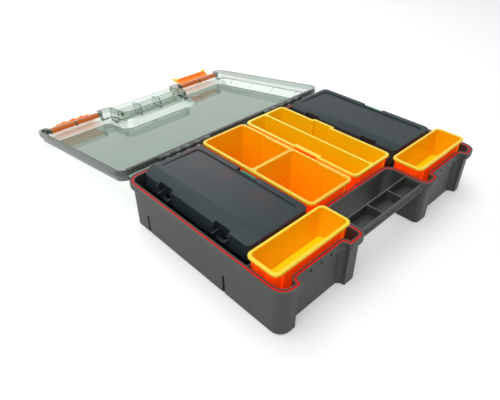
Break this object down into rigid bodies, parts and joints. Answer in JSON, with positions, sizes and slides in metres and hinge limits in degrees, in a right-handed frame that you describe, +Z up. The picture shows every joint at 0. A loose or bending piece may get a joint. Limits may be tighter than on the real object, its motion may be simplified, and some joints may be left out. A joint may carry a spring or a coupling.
{
  "type": "waterproof storage box",
  "caption": "Carry case with a gasket-sealed tub, clear hinged lid, swing latches and split grip, holding lift-out trays, cups and small hinged organizer boxes.",
  "frame": {"origin": "middle of the face that the tub stands on, under the centre of its rim", "axes": "+X to the box's right seen from its latch side, +Y from the latches towards the hinges, +Z up"},
  "size_m": [0.42, 0.6096, 0.0821],
  "materials": {
    "tub_plastic": "fine matte moulded texture",
    "gasket_rubber": "soft satin cord",
    "pin_plastic": "smooth",
    "lid_clear": "clear, slightly smoky, glossy",
    "latch_orange": "satin",
    "tab_yellow": "satin",
    "tray_orange": "translucent satin",
    "cup_yellow": "translucent satin",
    "organizer_slate": "dark translucent satin",
    "organizer_cover": "dark translucent gloss",
    "clip_green": "satin"
  },
  "bodies": {
    "tub": {"base_tub": "tub_plastic", "rim_gasket": "gasket_rubber", "hinge_pin_left": "pin_plastic", "hinge_pin_right": "pin_plastic"},
    "lid": {"lid_shell": "lid_clear", "latch_left_pin": "pin_plastic", "latch_right_pin": "pin_plastic"},
    "latch_left": {"latch_left_lever": "latch_orange", "latch_left_tab": "tab_yellow"},
    "latch_right": {"latch_right_lever": "latch_orange", "latch_right_tab": "tab_yellow"},
    "cup_tray": {"twin_cup_tray": "tray_orange"},
    "channel_tray": {"twin_channel_tray": "tray_orange"},
    "cup_left": {"front_cup_left": "cup_yellow"},
    "cup_right": {"front_cup_right": "cup_yellow"},
    "organizer_left": {"organizer_left_case": "organizer_slate", "organizer_left_dividers": "organizer_slate"},
    "organizer_left_cover": {"organizer_left_lid": "organizer_cover"},
    "organizer_left_catch": {"organizer_left_clip": "clip_green"},
    "organizer_right": {"organizer_right_case": "organizer_slate", "organizer_right_dividers": "organizer_slate"},
    "organizer_right_cover": {"organizer_right_lid": "organizer_cover"},
    "organizer_right_catch": {"organizer_right_clip": "clip_green"}
  },
  "joints": [
    {"name": "lid_hinge", "type": "hinge", "parent": "tub", "child": "lid", "pos_m": [0, 0.15, 0.0715], "axis": [-1, 0, 0], "range_deg": [-189.69, 0]},
    {"name": "latch_left_pivot", "type": "hinge", "parent": "lid", "child": "latch_left", "pos_m": [-0.1425, 0.43735, 0.01654], "axis": [-1, 0, 0], "range_deg": [-92, 8]},
    {"name": "latch_right_pivot", "type": "hinge", "parent": "lid", "child": "latch_right", "pos_m": [0.1425, 0.43735, 0.01654], "axis": [-1, 0, 0], "range_deg": [-55, 45]},
    {"name": "cup_tray_lift", "type": "slide", "parent": "tub", "child": "cup_tray", "axis": [0, 0, 1], "range_m": [0, 0.1]},
    {"name": "channel_tray_lift", "type": "slide", "parent": "tub", "child": "channel_tray", "axis": [0, 0, 1], "range_m": [0, 0.1]},
    {"name": "cup_left_lift", "type": "slide", "parent": "tub", "child": "cup_left", "axis": [0, 0, 1], "range_m": [0, 0.1]},
    {"name": "cup_right_lift", "type": "slide", "parent": "tub", "child": "cup_right", "axis": [0, 0, 1], "range_m": [0, 0.1]},
    {"name": "organizer_left_lift", "type": "slide", "parent": "tub", "child": "organizer_left", "axis": [0, 0, 1], "range_m": [0, 0.1]},
    {"name": "organizer_right_lift", "type": "slide", "parent": "tub", "child": "organizer_right", "axis": [0, 0, 1], "range_m": [0, 0.1]},
    {"name": "organizer_left_hinge", "type": "hinge", "parent": "organizer_left", "child": "organizer_left_cover", "pos_m": [-0.1866, 0.0289, 0.055], "axis": [0, -1, 0], "range_deg": [0, 45]},
    {"name": "organizer_right_hinge", "type": "hinge", "parent": "organizer_right", "child": "organizer_right_cover", "pos_m": [0.0986, 0.0289, 0.055], "axis": [0, -1, 0], "range_deg": [0, 45]},
    {"name": "organizer_left_catch_pivot", "type": "hinge", "parent": "organizer_left_cover", "child": "organizer_left_catch", "pos_m": [-0.092, 0.0289, 0.068], "axis": [0, -1, 0], "range_deg": [0, 12]},
    {"name": "organizer_right_catch_pivot", "type": "hinge", "parent": "organizer_right_cover", "child": "organizer_right_catch", "pos_m": [0.1932, 0.0289, 0.068], "axis": [0, -1, 0], "range_deg": [0, 12]}
  ]
}
